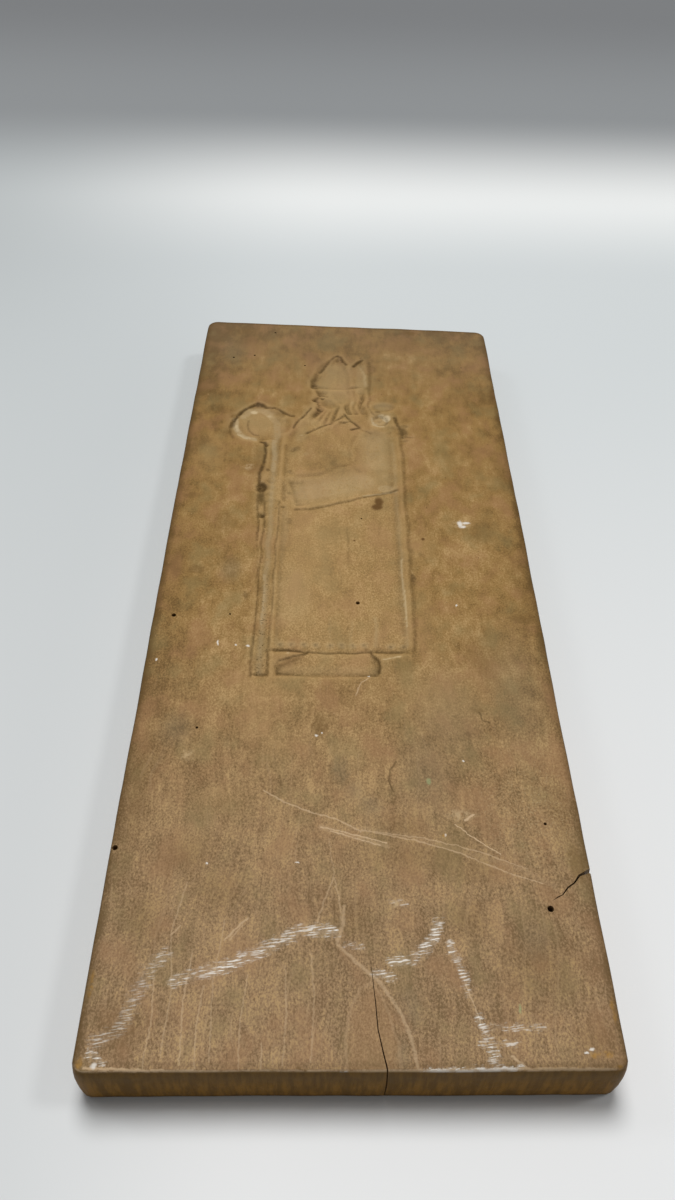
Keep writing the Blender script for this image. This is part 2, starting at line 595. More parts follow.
def plank_profile(arris, foot_arris, bulge):
    """The rings of the plank's side, from the face down: how far out, how low and how worn each is."""
    def turned(radius, angle):
        """How far in and how far past an edge's end a place on its rounding lies."""
        turn = math.radians(angle)
        return radius * (1 - math.sin(turn)), radius * (1 - math.cos(turn))
    rings = []
    for angle, wear in ((30, 0.7), (60, 1), (90, 0.5)):
        inward, fall = turned(arris, angle)
        rings.append((arris - inward, fall, wear))
    for share, out in ((0.07, 0.3), (0.2, 0.7), (0.4, 1), (0.65, 0.9)):
        rings.append((arris + bulge * out, THICKNESS * share, 0))
    for angle in (90, 70, 50, 30, 10):
        inward, rise = turned(foot_arris, angle)
        rings.append((arris + bulge * 0.4 - inward, THICKNESS - rise, 0))
    return [*rings, (arris - foot_arris - 3, THICKNESS, 0)]


def follow_relief(mesh, relief):
    """Lowers the flat face to the relief and moves the plank from millimetres to its place in the frame."""
    places = np.empty(len(mesh.vertices) * 3)
    mesh.vertices.foreach_get("co", places)
    places = places.reshape(-1, 3)
    share = np.clip(1 + places[:, 2] / 3, 0, 1)
    places[:, 2] += share * relief.at(relief.height, places[:, 0], places[:, 1])
    places *= MM
    places += (0, LOW.y, HIGH.z)
    mesh.vertices.foreach_set("co", places.ravel())


# Holes and cracks

# Beetle holes: place on the face, width and depth in millimetres
BEETLE_HOLES = (
    (4.6, 180, 2, 6), (7, 231.4, 1, 4), (-67, 170, 1.9, 6), (-52.8, 115.8, 1.1, 4), (-74, 68, 2, 5),
    (61.3, 48.7, 2.2, 7), (64, 78.5, 1.2, 5), (-57, 355.5, 1.3, 4), (-46.3, 357.6, 1.2, 4),
    (-20, 348.7, 1.1, 3), (-36.5, 380.5, 1.2, 4), (-45.3, 171, 1, 3),
)

# Cracks: points along them, each with the crack's width there
END_CRACK = (
    (5.8, 33, 0.02), (6.3, 28, 0.16), (6.6, 24, 0.2), (7, 20, 0.26), (7.5, 12, 0.3), (8.7, 6, 0.36),
    (9.6, 2, 0.42), (10.4, -2, 0.46),
)
SIDE_CRACK = (
    (62.3, 51.4, 0.05), (64.2, 52.6, 0.35), (65.8, 53.4, 0.3), (67.8, 55.9, 0.5), (70, 57.4, 0.45),
    (72, 60, 0.7), (74, 60.9, 1), (77, 62.4, 1.9),
)


def beetle_hole(bm, x, y, width, depth):
    """A round bore that narrows a little."""
    place = Matrix.Translation(Vector((x, y, 1 - depth / 2)))
    bmesh.ops.create_cone(bm, cap_ends=True, segments=12, radius1=0.35 * width, radius2=0.52 * width,
                          depth=depth + 2, matrix=place)


def crack(bm, line, shallow, deep):
    """A thin blade along a line, as deep as given at its tip and at its mouth."""
    route = [Vector((x, y)) for x, y, width in line]
    left, right = [], []
    for i, (point, (_, _, width)) in enumerate(zip(route, line)):
        run = route[min(i + 1, len(route) - 1)] - route[max(i - 1, 0)]
        side = Vector((-run.y, run.x)).normalized() * width / 2
        left.append(bm.verts.new((*(point + side), 2)))
        right.append(bm.verts.new((*(point - side), 2)))
    strip = [
        bm.faces.new((left[i], left[i + 1], right[i + 1], right[i]))
        for i in range(len(route) - 1)
    ]
    new = bmesh.ops.extrude_face_region(bm, geom=strip)["geom"]
    start, run = route[0], route[-1] - route[0]
    for vertex in (item for item in new if isinstance(item, bmesh.types.BMVert)):
        share = (vertex.co.xy - start).dot(run) / run.length_squared
        vertex.co.z = -shallow - (deep - shallow) * max(0, min(1, share)) ** 2


def damage_mesh():
    """All that is bored or split out of the plank."""
    bm = bmesh.new()
    for hole in BEETLE_HOLES:
        beetle_hole(bm, *hole)
    crack(bm, END_CRACK, 1.5, THICKNESS + 2)
    crack(bm, SIDE_CRACK, 1.5, 9)
    bmesh.ops.recalc_face_normals(bm, faces=bm.faces)
    bmesh.ops.scale(bm, vec=(MM, MM, MM), verts=bm.verts)
    bmesh.ops.translate(bm, vec=(0, LOW.y, HIGH.z), verts=bm.verts)
    mesh = bpy.data.meshes.new("damage")
    bm.to_mesh(mesh)
    bm.free()
    return mesh


def cut_damage(board):
    """Cuts the holes and cracks into the board, and takes the cutter away."""
    cutter = new_object("damage", damage_mesh())
    cut = board.modifiers.new("damage", "BOOLEAN")
    cut.operation = "DIFFERENCE"
    cut.solver = "MANIFOLD"
    cut.object = cutter
    solid = board.evaluated_get(bpy.context.evaluated_depsgraph_get())
    mesh = bpy.data.meshes.new_from_object(solid)
    board.modifiers.clear()
    board.data = mesh
    bpy.data.objects.remove(cutter)


def store(mesh, name, values):
    """Keeps one number for each vertex, for the material."""
    attribute = mesh.attributes.new(name, "FLOAT", "POINT")
    attribute.data.foreach_set("value", values.astype(np.float32))


def mark_surface(mesh, relief):
    """Stores where the carving is deep, creased, rubbed or bored."""
    places = np.empty(len(mesh.vertices) * 3)
    mesh.vertices.foreach_get("co", places)
    places = (places.reshape(-1, 3) - (0, LOW.y, HIGH.z)) / MM
    x, y, z = places.T
    upper = z > -THICKNESS / 2
    face = relief.at(relief.height, x, y)
    inside = (abs(x) < WIDTH / 2 - 3) & (y > 4) & (y < LENGTH - 7)
    for name in ("crease", "ridge", "hollow", "stain", "flour"):
        store(mesh, name, relief.at(getattr(relief, name), x, y) * upper)
    store(mesh, "bore", (inside & (z < face - 0.5) & (z > 0.5 - THICKNESS)).astype(float))


# Shader maths

class Wire:
    """A value in a node tree. Python's operators on it add Math nodes."""

    def __init__(self, graph, socket):
        self.graph = graph
        self.socket = socket

    def maths(self, operation, *values):
        return self.graph.node("ShaderNodeMath", {"operation": operation}, values)

    def __add__(self, other):
        return self.maths("ADD", self, other)

    def __radd__(self, other):
        return self.maths("ADD", other, self)

    def __sub__(self, other):
        return self.maths("SUBTRACT", self, other)

    def __rsub__(self, other):
        return self.maths("SUBTRACT", other, self)

    def __mul__(self, other):
        return self.maths("MULTIPLY", self, other)

    def __rmul__(self, other):
        return self.maths("MULTIPLY", other, self)

    def least(self, other):
        return self.maths("MINIMUM", self, other)

    def most(self, other):
        return self.maths("MAXIMUM", self, other)

    def clamped(self):
        return self.most(0).least(1)

    def size(self):
        """The value without its sign."""
        return self.maths("ABSOLUTE", self)

    def part(self, axis):
        """One of a vector's three numbers."""
        return self.graph.node("ShaderNodeSeparateXYZ", {}, [self], output=axis)


class Graph:
    """A material's node tree, with short names for the nodes that this board needs."""

    def __init__(self, material):
        material.use_nodes = True
        self.tree = material.node_tree
        self.tree.nodes.clear()

    def node(self, kind, settings, values, output=0):
        """Adds a node of any kind, sets it up, and feeds its sockets by place or by name."""
        node = self.tree.nodes.new(kind)
        for name, value in settings.items():
            setattr(node, name, value)
        pairs = values.items() if isinstance(values, dict) else enumerate(values)
        for key, value in pairs:
            if isinstance(value, Wire):
                self.tree.links.new(value.socket, node.inputs[key])
            elif value is not None:
                node.inputs[key].default_value = value
        return Wire(self, node.outputs[output])

    def finish(self, **sockets):
        """A Principled shader with these sockets, as the material's surface."""
        named = {name.replace("_", " "): value for name, value in sockets.items()}
        shader = self.node("ShaderNodeBsdfPrincipled", {}, named)
        result = self.tree.nodes.new("ShaderNodeOutputMaterial")
        self.tree.links.new(shader.socket, result.inputs["Surface"])

    def vector(self, operation, *values, output=0):
        return self.node("ShaderNodeVectorMath", {"operation": operation}, values, output)

    def attribute(self, name):
        return self.node("ShaderNodeAttribute", {"attribute_name": name}, [], "Fac")

    def noise(self, place, scale, detail=2.0, roughness=0.5, output="Fac"):
        inputs = {"Vector": place, "Scale": scale, "Detail": detail, "Roughness": roughness}
        return self.node("ShaderNodeTexNoise", {}, inputs, output)

    def band(self, value, low, high):
        """0 below low and 1 above high, with a smooth rise between; low may also be the larger one."""
        settings = {"interpolation_type": "SMOOTHSTEP", "clamp": False}
        return self.node("ShaderNodeMapRange", settings, {"Value": value, "From Min": low, "From Max": high})

    def mix(self, share, one, other):
        """One colour, and the other one where share is 1."""
        colours = [value if isinstance(value, Wire) else (*value, 1) for value in (one, other)]
        values = {0: share, 6: colours[0], 7: colours[1]}
        return self.node("ShaderNodeMix", {"data_type": "RGBA"}, values, output=2)

    def stretched(self, place, x, y, z=1.0):
        return self.vector("MULTIPLY", place, (x, y, z))

    def wander(self, place, scale, detail, roughness):
        """A vector that wanders about nought from place to place."""
        cloud = self.noise(place, scale, detail, roughness, output="Color")
        return self.vector("SUBTRACT", cloud, (0.5, 0.5, 0.5))

    def spot(self, place, x, y, half_x, half_y, edge=0.5):
        """1 in an oval about (x, y), falling to 0 at its edge."""
        offset = self.vector("SUBTRACT", place, (x, y, 0))
        inside = self.vector("MULTIPLY", offset, (1 / half_x, 1 / half_y, 0))
        return self.band(self.vector("LENGTH", inside, output="Value"), 1 + edge / 2, 1 - edge)

    def spots(self, place, ovals, edge=0.5):
        """1 in any of several ovals."""
        return most_of(self.spot(place, *oval, edge=edge) for oval in ovals)

    def stroke(self, place, points, half, core=0.2):
        """1 along a line through points, falling to 0 at half a width from it."""
        nearest = None
        for (x0, y0), (x1, y1) in zip(points, points[1:]):
            run = Vector((x1 - x0, y1 - y0, 0))
            offset = self.vector("SUBTRACT", place, (x0, y0, 0))
            along = self.vector("DOT_PRODUCT", offset, tuple(run / run.length_squared), output="Value")
            along = along.clamped()
            foot = self.node("ShaderNodeVectorMath", {"operation": "SCALE"}, {0: tuple(run), "Scale": along})
            gap = self.vector("DISTANCE", offset, foot, output="Value")
            nearest = gap if nearest is None else nearest.least(gap)
        return self.band(nearest, half, half * core)

    def strokes(self, place, lines, core=0.2):
        """The strength of the strongest of several lines, along each and falling to 0 beside it."""
        return most_of(self.stroke(place, line, half, core) * strong for line, half, strong in lines)


def most_of(wires):
    """The largest of several values, each compared as soon as it is made, so that few are held at a time."""
    return functools.reduce(Wire.most, wires)


# Marks and tinted areas on the plain wood, in millimetres: ovals are (x, y, half width, half height)
BROWN_SPOTS = (
    (-10, 117, 3, 6), (69, 170, 6, 2.5), (36, 382.5, 4, 2), (47, 125, 2.6, 1.2), (-39.5, 181, 1.4, 2.4),
    (-13, 0.6, 3, 0.9), (31, 207, 1.4, 1.6), (-68, 243, 4, 2.4), (-61, 196, 4, 3), (72, 64, 3, 7),
    (-35.6, 250, 2, 3), (38, 122, 1.2, 1),
)
GREY_SPOTS = (
    (-2, 98, 2.6, 7), (2, 90, 3.4, 4.6), (8, 83.6, 4, 3.4), (55, 38, 5, 6), (17, 18, 3.5, 6), (14, 5, 2, 5),
    (7, 86, 4.5, 2.5), (-60, 115, 6, 8), (-57, 363, 7, 14), (-4, 99, 2, 6), (-2.6, 43.6, 0.8, 2.6),
    (62, 135, 12, 32), (36, 122, 14, 22), (27, 100, 10, 20), (-47, 196, 5, 8),
)
PALE_SPOTS = (
    (-44, 264, 2.4, 2.2), (50, 226.4, 4.4, 2.4), (-55, 104, 2, 2.4), (36.5, 81.5, 5, 2.2),
    (14, 49.6, 2.2, 1.4),
)
LIGHT_AREAS = (
    (-62, 274, 8, 16), (31, 166, 4, 22), (-30, 134, 14, 10), (-32, 120, 8, 12), (-24, 145, 5, 4),
    (30, 212, 8, 10), (-25, 110, 10, 8), (-42, 86, 10, 6), (32, 130, 18, 12), (-16, 205, 16, 40),
)
DARK_AREAS = (
    (-40, 268, 4, 14), (-51, 372, 8, 9), (32, 371, 10, 7), (23, 66, 22, 7), (-40, 54, 9, 8),
    (-62, 44, 6, 10), (50, 150, 7, 15), (-52, 225, 6, 9), (70, 82, 5, 14), (-64, 12, 8, 7),
    (56, 30, 14, 12), (-72, 330, 4, 40), (-70, 90, 5, 30), (-70, 204, 6, 14), (71, 190, 5, 24),
    (71, 265, 4, 24), (70, 320, 5, 12), (0, 45, 7, 7), (36, 45, 7, 7), (-1, 44, 6, 5), (68, 8, 7, 7),
    (-53, 381, 10, 5), (-52, 380, 6, 5), (-50, 66, 8, 8), (18, 76, 8, 6), (58, 222, 6, 8), (-36, 253, 4, 9),
    (40, 62, 10, 6), (-55, 300, 4, 8),
)
WHITE_DOTS = (
    (24, 1, 3.6, 0.5), (31, 1, 3.4, 0.45), (38, 1.3, 4, 0.55), (43.6, 1.7, 2, 0.45), (-2, 0.7, 1.4, 0.3),
    (31, 73.8, 0.5, 0.5), (-44.5, 62.7, 0.35, 0.5), (43.5, 177.5, 0.5, 0.5), (-70.8, 147, 0.5, 0.7),
    (-11, 113, 0.6, 0.6), (-9, 114, 0.4, 0.4), (-48.8, 156, 0.4, 1.4), (-42, 155, 0.5, 0.5),
    (-37.5, 154.5, 0.7, 0.6), (-16.5, 63.5, 0.8, 0.3), (49.2, 226.4, 1.2, 2.2), (51.8, 227.2, 1.9, 0.8),
    (50.4, 224.8, 1.3, 0.8), (39.6, 103, 0.4, 0.4), (-69.5, 1.6, 1, 0.9), (66.4, 7, 0.9, 0.5),
    (64.8, 6.2, 0.6, 0.35), (8, 141, 0.5, 0.5),
)
OCHRE_CHIPS = (
    (-73.6, 2, 1, 1.8), (70.5, 5.6, 1.4, 1.2), (67, 5.4, 1.6, 0.9), (73, 2, 1.2, 1),
    (30.6, 73.8, 0.6, 0.6), (-74, 24, 0.8, 4), (74.4, 18, 0.7, 4),
)
RUST_SPOTS = ((14.9, 242.4, 2.1, 4.0), (14, 239.2, 2.6, 2.4), (32.6, 216.6, 1.0, 0.9), (3.6, 217, 0.6, 0.5))
GREEN_FLECKS = ((27, 94.5, 0.9, 1.4), (48, 18, 0.45, 1.3))

# Scratches are (points, half width, strength), and a dark line is only its points
SCRATCHES = (
    (((-28, 90), (-20, 85), (-12.5, 82), (-4, 79.5), (4, 74.8)), 0.45, 0.7),
    (((0, 76.5), (20, 73.4), (36, 68), (52, 63), (64, 56)), 1.4, 0.1),
    (((4, 75.4), (20, 72.2), (35, 67.6), (50, 60.6), (60, 57)), 0.4, 0.65),
    (((8, 75), (24, 72.6), (40, 68.6), (56, 62)), 0.35, 0.6),
    (((-9, 76.4), (0, 73.4), (12, 69.6)), 1.4, 0.25),
    (((-9, 76.4), (-1, 74.4), (12, 70.8)), 0.35, 1),
    (((-6, 75), (2, 72.4), (10, 69.8)), 0.3, 1),
    (((-4.8, 58.6), (-3.4, 52), (-2.4, 44)), 0.4, 0.45),
    (((-4.8, 58.6), (-7.6, 51), (-11, 40)), 0.4, 0.45),
    (((-4.6, 59), (-5.6, 66), (-6.4, 72)), 0.35, 0.3),
    (((-1.6, 49), (-2.4, 41), (-4, 37), (2, 31), (9, 24.5), (14, 16.5), (16.5, 10), (18.2, 1)), 0.8, 0.55),
    (((34.5, 78), (42, 71.5), (48, 67.2)), 0.35, 1),
    (((37.8, 79.4), (41, 81.8)), 0.5, 1.2),
    (((3, 131), (5, 137), (8.5, 140)), 0.35, 0.7),
    (((-37, 37.6), (-33.4, 42), (-30.6, 44.6)), 0.5, 0.7),
    (((-35.6, 37.8), (-32, 42.4)), 0.35, 0.5),
    (((-53, 39), (-50.5, 42)), 0.4, 0.6),
    (((33, 25), (36.5, 14)), 0.35, 0.7),
    (((44, 5), (49, 0.6)), 0.5, 0.8),
    (((-24.6, 0), (-24.6, 8)), 0.35, 0.5),
    (((-72, 0.9), (-40, 0.4), (0, 0.7), (46, 1.6), (72, 1.8)), 0.5, 0.9),
    (((-46.6, 2), (-47.4, 20), (-46, 34)), 0.4, 0.5),
    (((-52, 4), (-51, 22), (-53, 40), (-50, 56)), 0.35, 0.4),
    (((-38.6, 3), (-39.4, 26), (-37.4, 44)), 0.35, 0.4),
    (((-56.4, 1), (-55.6, 14), (-56.4, 26)), 0.35, 0.45),
    (((-42.6, 1), (-43, 12), (-42, 24)), 0.35, 0.45),
    (((-30.6, 1), (-31, 13), (-29.6, 27)), 0.35, 0.4),
    (((-18.6, 2), (-18, 16), (-19, 30)), 0.35, 0.35),
    (((-11, 3), (-10.4, 20), (-11.4, 34)), 0.4, 0.35),
)
DARK_LINES = (
    ((16.4, 102.4), (14.2, 98.6), (13.6, 94.4), (15, 90.4)), ((47, 124), (48, 120.4), (50, 119.6)),
)

# Scuffs of a blade that skipped over the wood, in the form of the scratches
CHATTER = (
    (((-69.5, 8), (-64, 12), (-61, 20), (-58, 29), (-54, 33)), 3, 0.5),
    (((-50, 25.3), (-38, 29), (-29, 32.6), (-20, 38), (-14, 41), (-5, 40.6)), 2.9, 1.05),
    (((-1, 36.6), (3.6, 35.8)), 1.6, 0.8),
    (((7, 28), (12, 27)), 1.8, 0.85),
    (((12.5, 31.4), (18, 31.8), (22, 35), (25, 39), (26.6, 44)), 2.4, 1.15),
    (((29.5, 37), (31, 32), (33.2, 27), (33.8, 22)), 1.8, 0.85),
    (((36, 15), (38.5, 9), (39.5, 0)), 2.1, 0.95),
    (((40, 12.6), (54, 12.8)), 1.4, 0.6),
    (((36, 8), (46, 8.3)), 1.3, 0.6),
    (((-71, 4.6), (-67.5, 2.6)), 1.7, 0.9),
    (((12.5, 50.4), (16.5, 49.4)), 1.6, 0.55),
    (((20, 0.7), (34, 0.9), (46, 1.6)), 1.3, 1.6),
)

# The grain stands in an arch at the near end, where the saw cut across it
GRAIN_ARCH = ((-1.2, 0), (-1.6, 10), (0, 18), (3, 23.4), (6, 25), (8.6, 22), (11, 15), (13, 8), (13.6, 0))

# Tones that the wood and its marks turn to, besides those that a user may change
REDDISH_WOOD = tone(156, 116, 78)
GREENISH_WOOD = tone(134, 115, 72)
FAR_WOOD = tone(130, 112, 90)
NEAR_WOOD = tone(146, 126, 104)
PALE_STREAK = tone(182, 150, 112)
DARK_FLECK = tone(96, 70, 38)
PALE_FLECK = tone(186, 156, 112)
GREY_STAIN = tone(118, 106, 82)
PALE_RUB = tone(196, 170, 130)
GRIT = tone(186, 164, 124)
ARCH_WOOD = tone(160, 124, 86)
ARCH_LINE = tone(184, 154, 118)
THICK_FLOUR = tone(222, 200, 160)
RUST = tone(92, 62, 26)
SCRATCH = tone(200, 172, 136)
SCUFF_HAZE = tone(196, 180, 156)
OCHRE = tone(170, 128, 62)
GREEN = tone(150, 168, 120)
END_RING = tone(98, 70, 24)
END_RUB = tone(96, 76, 46)
END_FOOT = tone(58, 42, 18)
ARRIS_RUB = tone(196, 170, 140)
BORE = tone(26, 18, 11)


def wood_value(graph, place, grain, foot, fine):
    """How pale the wood is from place to place: about 1 where it is palest and 0 where it is darkest."""
    across, along = place.part(0), place.part(1)
    value = 0.55 + (graph.noise(graph.stretched(place, 1, 0.6, 0.6), 0.026, 3, 0.5) - 0.5)
    value = value + (graph.noise(graph.stretched(place, 1, 0.8, 1), 0.11, 2, 0.5) - 0.5)
    value = value + (graph.noise(graph.stretched(place, 1, 0.5, 1), 0.3, 2, 0.5) - 0.5) * 0.7
    mottle = graph.noise(graph.stretched(place, 1, 0.7, 1), 1.6, 2, 0.8) - 0.5
    value = value + mottle * fine * (1.6 + foot * 1.5 + graph.attribute("hollow") * 1.3)
    value = value + (grain - 0.5) * (0.3 + foot * 1.1)
    left = graph.band(across, -40, -78) * (1 - foot * 0.7)
    right = graph.band(across, 36, 72) * (1 - foot)
    far = graph.band(along, 290, 385) * (1 - graph.band(across, 35, 70) * 0.4)
    far_edge = graph.band(along, 360, 388) * graph.band((across + 9).size(), 8, 34)
    far_edge = far_edge * graph.band(across, 64, 44)
    value = value - far * 0.2 - far_edge * 0.26 - left * 0.36 - right * 0.18
    return value - graph.band(along, 66, 48) * 0.12 - graph.band(across.size(), 70.5, 75) * 0.3


def wood_colour(graph, place, finish):
    """Mottled fruitwood: ochre towards the far end, pinker at the foot, with grain, pores and uneven hue."""
    along = place.part(1)
    sway = graph.wander(graph.stretched(place, 1, 0.6, 1), 0.03, 2, 0.5)
    flowing = graph.vector("ADD", place, graph.stretched(sway, 22, 0, 0))
    foot = graph.band(along, 190, 20)
    fine = 1 - graph.band(along, 180, 320) * 0.6
    grain = graph.noise(graph.stretched(flowing, 1, 0.05, 1), 0.7, 4, 0.68)
    value = wood_value(graph, place, grain, foot, fine)
    wood = graph.mix(foot * 0.8, finish.wood, finish.foot_wood)
    light = graph.mix(graph.band(value, 0.45, 1.1), wood, finish.pale_wood)
    body = graph.mix(graph.band(value, 0.58, -0.15), light, finish.dark_wood)
    hue = graph.noise(graph.stretched(place, 1, 0.7, 1), 0.075, 3, 0.55)
    body = graph.mix(graph.band(hue, 0.48, 0.68) * 0.5, body, REDDISH_WOOD)
    body = graph.mix(graph.band(hue, 0.5, 0.3) * 0.5, body, GREENISH_WOOD)
    uneven = graph.band(graph.noise(graph.stretched(place, 1, 0.6, 0.6), 0.06, 2, 0.5), 0.38, 0.62)
    fibre = graph.noise(graph.stretched(flowing, 1, 0.22, 1), 1.7, 3, 0.8)
    threads = 0.12 + foot * uneven * 0.36 + graph.attribute("hollow") * 0.22
    body = graph.mix(graph.band(fibre, 0.54, 0.74) * fine * threads, body, finish.dark_wood)
    streak = graph.noise(graph.stretched(flowing, 1, 0.04, 1), 0.8, 3, 0.65)
    body = graph.mix(graph.band(streak, 0.55, 0.7) * (foot * uneven * 0.45), body, PALE_STREAK)
    freckle = graph.noise(graph.stretched(place, 1, 0.6, 1), 0.75, 2, 0.7)
    body = graph.mix(graph.band(freckle, 0.67, 0.76) * (0.4 + uneven * 0.5), body, DARK_FLECK)
    body = graph.mix(graph.band(freckle, 0.33, 0.22) * 0.4, body, PALE_FLECK)
    body = graph.mix(graph.band(along, 300, 390) * 0.3, body, FAR_WOOD)
    return graph.mix(foot * 0.22, body, NEAR_WOOD)


class Places:
    """Coordinates on the board in millimetres, and masks that several layers of its finish share."""

    def __init__(self, graph):
        objects = graph.node("ShaderNodeTexCoord", {}, [], "Object")
        shifted = graph.vector("SUBTRACT", objects, (0, LOW.y, HIGH.z))
        self.board = graph.stretched(shifted, 1 / MM, 1 / MM, 1 / MM)
        self.face = graph.stretched(self.board, 1, 1, 0)
        wander = graph.wander(self.board, 0.45, 3, 0.7)
        self.ragged = graph.vector("ADD", self.face, graph.stretched(wander, 5, 5, 0))
        self.crisp = graph.vector("ADD", self.face, graph.stretched(wander, 1.6, 1.6, 0))
        self.break_up = graph.noise(self.board, 0.55, 3, 0.7)
        self.upper = graph.band(self.board.part(2), -3.2, -2.8)
        self.hollow = graph.attribute("hollow")


def tinted(graph, body, at, finish):
    """Stains, rubbed places and paler or darker areas of the plain wood."""
    body = graph.mix(graph.spots(at.ragged, BROWN_SPOTS) * 0.5, body, finish.dark_wood)
    body = graph.mix(graph.spots(at.ragged, GREY_SPOTS, 0.9) * 0.3, body, GREY_STAIN)
    body = graph.mix(graph.spots(at.ragged, LIGHT_AREAS, 1) * 0.22, body, finish.pale_wood)
    body = graph.mix(graph.spots(at.ragged, DARK_AREAS, 1) * 0.3, body, finish.dark_wood)
    pale = graph.spots(at.ragged, PALE_SPOTS, 0.8) * graph.band(at.break_up, 0.35, 0.6)
    body = graph.mix(pale * 0.6, body, PALE_RUB)
    grains = graph.band(graph.noise(at.board, 1.6, 2, 0.7), 0.56, 0.7)
    body = graph.mix(graph.spot(at.ragged, 58, 82, 20, 30, 0.9) * grains * 0.5, body, GRIT)
    body = graph.mix(graph.spot(at.ragged, 6, 4, 7.6, 20.5, 0.3) * 0.35, body, ARCH_WOOD)
    return graph.mix(graph.stroke(at.crisp, GRAIN_ARCH, 0.6, 0.4) * 0.25, body, ARCH_LINE)


def floury_and_dirty(graph, body, at, grime, finish):
    """The carving: pale inside, floury in the hollows, rubbed on the ridges and dirty in the cuts."""
    body = graph.mix(at.hollow * 0.28, body, finish.pale_wood)
    flour = graph.attribute("flour") * graph.band(at.break_up, 0.05, 0.5)
    body = graph.mix((flour * 0.7).clamped(), body, finish.flour)
    body = graph.mix(((flour - 0.5).most(0) * 1.1).clamped(), body, THICK_FLOUR)
    body = graph.mix(graph.attribute("ridge") * 0.4, body, finish.pale_wood)
    pepper = graph.band(graph.noise(at.board, 1.1, 2, 0.6), 0.6, 0.68) * graph.band(at.hollow, 0.2, 0.6)
    low_staff = graph.band(at.board.part(0), -28.5, -29.5) * graph.band(at.board.part(1), 215, 165)
    body = graph.mix(pepper * (low_staff * 0.75 + 0.08), body, finish.dirt)
    body = graph.mix(grime, body, finish.dirt)
    stain = graph.attribute("stain")
    stained = stain * (graph.band(at.break_up, 0.3, 0.55) * 0.45 + stain * 0.55)
    return graph.mix(stained, body, finish.dirt)


def scratched(graph, body, at, finish):
    """Rust spots, dark lines and pale scratches."""
    body = graph.mix(graph.spots(at.crisp, RUST_SPOTS) * 0.85, body, RUST)
    lines = most_of(graph.stroke(at.crisp, line, 0.5) for line in DARK_LINES)
    body = graph.mix(lines * 0.6, body, finish.dirt)
    scratches = graph.strokes(at.crisp, SCRATCHES) * graph.band(at.break_up, 0.15, 0.5) * at.upper
    return graph.mix(scratches.clamped() * 0.85, body, SCRATCH)


def chatter(graph, at):
    """Scuffs of a blade that skipped over the wood: their haze, and their bright dashes with other dots."""
    dash_shape = {"Vector": at.board, "Rotation": (0, 0, 0.14), "Scale": (4, 0.5, 1)}
    dashes = graph.noise(graph.node("ShaderNodeMapping", {"vector_type": "TEXTURE"}, dash_shape), 1, 2, 0.6)
    uneven = 0.55 + graph.band(graph.noise(at.face, 0.12, 2, 0.6), 0.35, 0.65) * 0.75
    streaks = graph.strokes(at.ragged, CHATTER, 0.1) * at.upper * uneven
    dots = graph.spots(at.crisp, WHITE_DOTS, 0.6) * 0.9 * at.upper
    return streaks, (graph.band(dashes, 0.5, 0.62) * streaks).most(dots).clamped()


def sides_and_edges(graph, body, at, finish):
    """Darker sides, sawn ends, and edges that are rubbed at the near end and dirty elsewhere."""
    depth = at.board.part(2)
    wall = 1 - graph.band(depth, -1.4, -0.6).most(graph.band(at.hollow, 0.05, 0.3))
    facing = graph.node("ShaderNodeNewGeometry", {}, [], "Normal").part(1).size()
    rings = graph.noise(graph.stretched(at.board, 0.8, 0.8, 0.1), 0.6, 3, 0.7)
    end_body = graph.mix(graph.band(rings, 0.35, 0.65), finish.end_grain, END_RING)
    end_body = graph.mix(graph.band(depth, -9, -4) * 0.45, end_body, END_RUB)
    end_body = graph.mix(graph.band(depth, -17, -19.5) * 0.7, end_body, END_FOOT)
    body = graph.mix(wall * 0.35, body, finish.dark_wood)
    body = graph.mix(graph.band(facing, 0.55, 0.8) * wall, body, end_body)
    arris = graph.attribute("arris")
    near = graph.band(at.board.part(1), 3, 1)
    rubbed = graph.band(arris, 0.6, 1) * near * graph.band(at.break_up, 0.35, 0.55)
    body = graph.mix(rubbed * 0.5, body, ARRIS_RUB)
    dirty = arris * (1 - near) * graph.band(at.break_up, 0.1, 0.45)
    return graph.mix(dirty * 0.8, body, finish.dirt)


def board_material(finish):
    """The board's whole finish, layer on layer."""
    material = bpy.data.materials.new("old_fruitwood")
    graph = Graph(material)
    at = Places(graph)
    grime = (graph.attribute("crease") * 0.8 * graph.band(at.break_up, 0.2, 0.6)).clamped()
    body = tinted(graph, wood_colour(graph, at.board, finish), at, finish)
    body = floury_and_dirty(graph, body, at, grime, finish)
    body = scratched(graph, body, at, finish)
    streaks, scuffed = chatter(graph, at)
    body = graph.mix((streaks * 0.2).clamped(), body, SCUFF_HAZE)
    body = graph.mix(scuffed * 0.9, body, finish.scuff)
    chips = graph.spots(at.crisp, OCHRE_CHIPS, 0.6) * graph.band(at.break_up, 0.35, 0.6)
    body = graph.mix(chips * 0.7, body, OCHRE)
    body = graph.mix(graph.spots(at.crisp, GREEN_FLECKS, 0.6) * 0.5, body, GREEN)
    body = sides_and_edges(graph, body, at, finish)
    bore = graph.attribute("bore")
    body = graph.mix(bore, body, BORE)
    roughness = finish.roughness + (at.break_up - 0.5) * 0.22 + grime * 0.25 - scuffed * 0.15 + bore * 0.4
    pores = graph.noise(graph.stretched(at.board, 1, 0.3, 1), 2.2, 3, 0.7)
    pitted = {"Height": pores * 0.09, "Distance": MM, "Strength": 0.8}
    bump = graph.node("ShaderNodeBump", {}, pitted, "Normal")
    graph.finish(Base_Color=body, Roughness=roughness.clamped(), Normal=bump, Specular_IOR_Level=0.06)
    return material


# The stage

